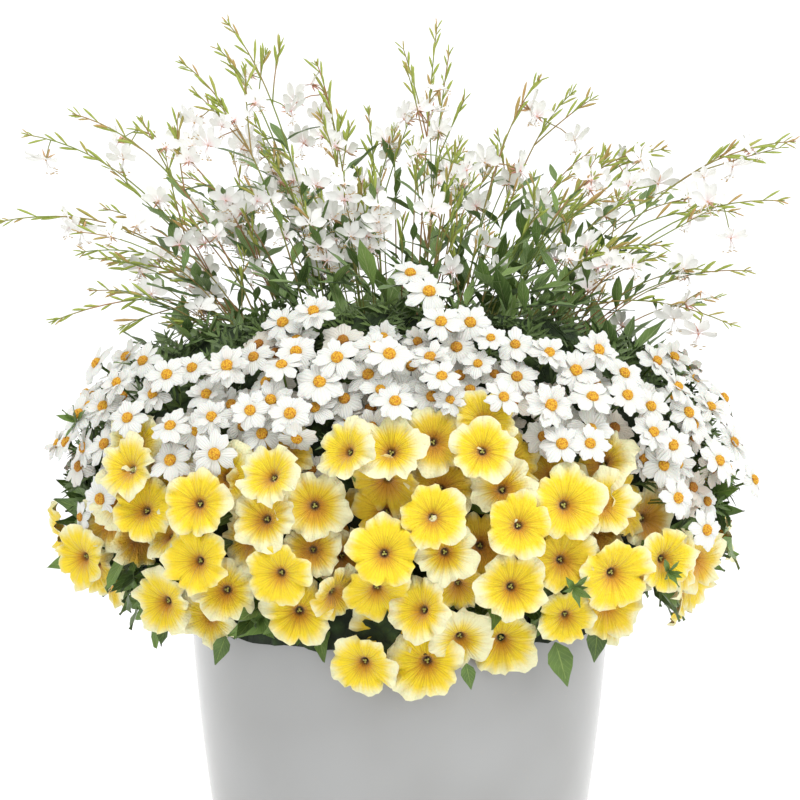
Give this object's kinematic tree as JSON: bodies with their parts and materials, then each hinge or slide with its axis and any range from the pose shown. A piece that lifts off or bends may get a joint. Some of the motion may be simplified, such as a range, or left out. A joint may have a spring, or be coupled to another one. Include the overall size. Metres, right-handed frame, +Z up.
{
  "type": "potted petunia planter",
  "caption": "Round tapering glazed pot planted with yellow petunias that spill over its rim, white bidens behind them and wiry gaura sprays on top.",
  "frame": {"origin": "centre of the pot's foot, on the surface that it stands on", "axes": "+Z up; the side seen in the picture faces -Y; +X is to the right of a viewer in front"},
  "size_m": [0.713, 0.5095, 0.872],
  "materials": {
    "pot_glaze": "glossy pale warm grey glaze",
    "soil": "moist crumbly potting soil",
    "petunia_blooms": "soft petals, yellow with cream margins, over green leaves",
    "bidens_blooms": "soft white rays round orange discs, over fine dark foliage",
    "gaura_stems": "thin green stems with white petals and pink buds"
  },
  "bodies": {
    "root": {"pot": "pot_glaze", "soil": "soil", "petunia_bunch_1": "petunia_blooms", "petunia_bunch_2": "petunia_blooms", "petunia_bunch_3": "petunia_blooms", "petunia_bunch_4": "petunia_blooms", "petunia_bunch_5": "petunia_blooms", "petunia_bunch_6": "petunia_blooms", "petunia_bunch_7": "petunia_blooms", "petunia_bunch_8": "petunia_blooms", "petunia_bunch_9": "petunia_blooms", "petunia_bunch_10": "petunia_blooms", "bidens_bunch_1": "bidens_blooms", "bidens_bunch_2": "bidens_blooms", "bidens_bunch_3": "bidens_blooms", "bidens_bunch_4": "bidens_blooms", "bidens_bunch_5": "bidens_blooms", "bidens_bunch_6": "bidens_blooms", "bidens_bunch_7": "bidens_blooms", "bidens_bunch_8": "bidens_blooms", "bidens_bunch_9": "bidens_blooms", "bidens_bunch_10": "bidens_blooms", "gaura_spray_1": "gaura_stems", "gaura_spray_2": "gaura_stems", "gaura_spray_3": "gaura_stems", "gaura_spray_4": "gaura_stems", "gaura_spray_5": "gaura_stems", "gaura_spray_6": "gaura_stems", "gaura_spray_7": "gaura_stems", "gaura_spray_8": "gaura_stems", "gaura_spray_9": "gaura_stems", "gaura_spray_10": "gaura_stems", "gaura_spray_11": "gaura_stems", "gaura_spray_12": "gaura_stems", "gaura_spray_13": "gaura_stems", "gaura_spray_14": "gaura_stems", "gaura_spray_15": "gaura_stems", "gaura_spray_16": "gaura_stems", "gaura_spray_17": "gaura_stems", "gaura_spray_18": "gaura_stems", "gaura_spray_19": "gaura_stems", "gaura_spray_20": "gaura_stems", "gaura_spray_21": "gaura_stems", "gaura_spray_22": "gaura_stems", "gaura_spray_23": "gaura_stems", "gaura_spray_24": "gaura_stems", "gaura_spray_25": "gaura_stems", "gaura_spray_26": "gaura_stems", "gaura_spray_27": "gaura_stems"}
  },
  "joints": []
}
